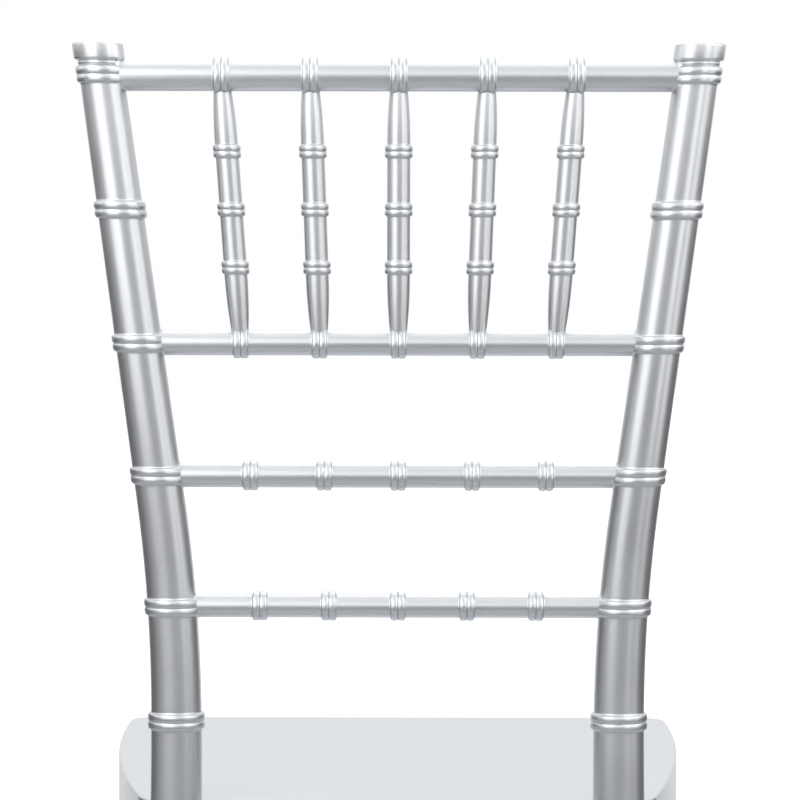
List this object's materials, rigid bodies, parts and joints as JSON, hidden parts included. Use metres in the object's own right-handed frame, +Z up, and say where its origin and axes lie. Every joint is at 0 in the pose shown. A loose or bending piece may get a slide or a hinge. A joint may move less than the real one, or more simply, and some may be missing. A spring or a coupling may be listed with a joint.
{
  "type": "chiavari chair",
  "caption": "Straight-backed banquet chair of turned wood in silver paint: bent back posts with beaded rings, fanned spindles, cross rails, a flat seat and stretchers.",
  "frame": {"origin": "middle of the chair's footprint, on the floor", "axes": "+Z up, +Y the way the sitter faces, +X to the sitter's right"},
  "size_m": [0.3988, 0.4474, 0.921],
  "materials": {
    "silver_paint": "satin silver paint over turned beech",
    "seat_paint": "satin light silver paint over flat wood",
    "bare_beech": "unpainted, sanded",
    "zinc_steel": "zinc plated",
    "grey_nylon": "moulded"
  },
  "bodies": {
    "root": {"back_glide_left": "grey_nylon", "back_glide_right": "grey_nylon", "back_left_corner_block": "bare_beech", "back_lower_stretcher": "silver_paint", "back_post_left": "silver_paint", "back_post_right": "silver_paint", "back_right_corner_block": "bare_beech", "back_seat_rail": "seat_paint", "back_upper_stretcher": "silver_paint", "corner_block_screws": "zinc_steel", "front_glide_left": "grey_nylon", "front_glide_right": "grey_nylon", "front_left_corner_block": "bare_beech", "front_leg_left": "silver_paint", "front_leg_right": "silver_paint", "front_lower_stretcher": "silver_paint", "front_right_corner_block": "bare_beech", "front_seat_rail": "seat_paint", "front_upper_stretcher": "silver_paint", "glide_nails": "zinc_steel", "left_lower_stretcher": "silver_paint", "left_seat_rail": "seat_paint", "left_upper_stretcher": "silver_paint", "lower_back_rail": "silver_paint", "middle_back_rail": "silver_paint", "post_dowels": "bare_beech", "right_lower_stretcher": "silver_paint", "right_seat_rail": "seat_paint", "right_upper_stretcher": "silver_paint", "seat_frame_dowels": "bare_beech", "seat_panel": "seat_paint", "spindle_1": "silver_paint", "spindle_2": "silver_paint", "spindle_3": "silver_paint", "spindle_4": "silver_paint", "spindle_5": "silver_paint", "spindle_rail": "silver_paint", "top_rail": "silver_paint"}
  },
  "joints": []
}
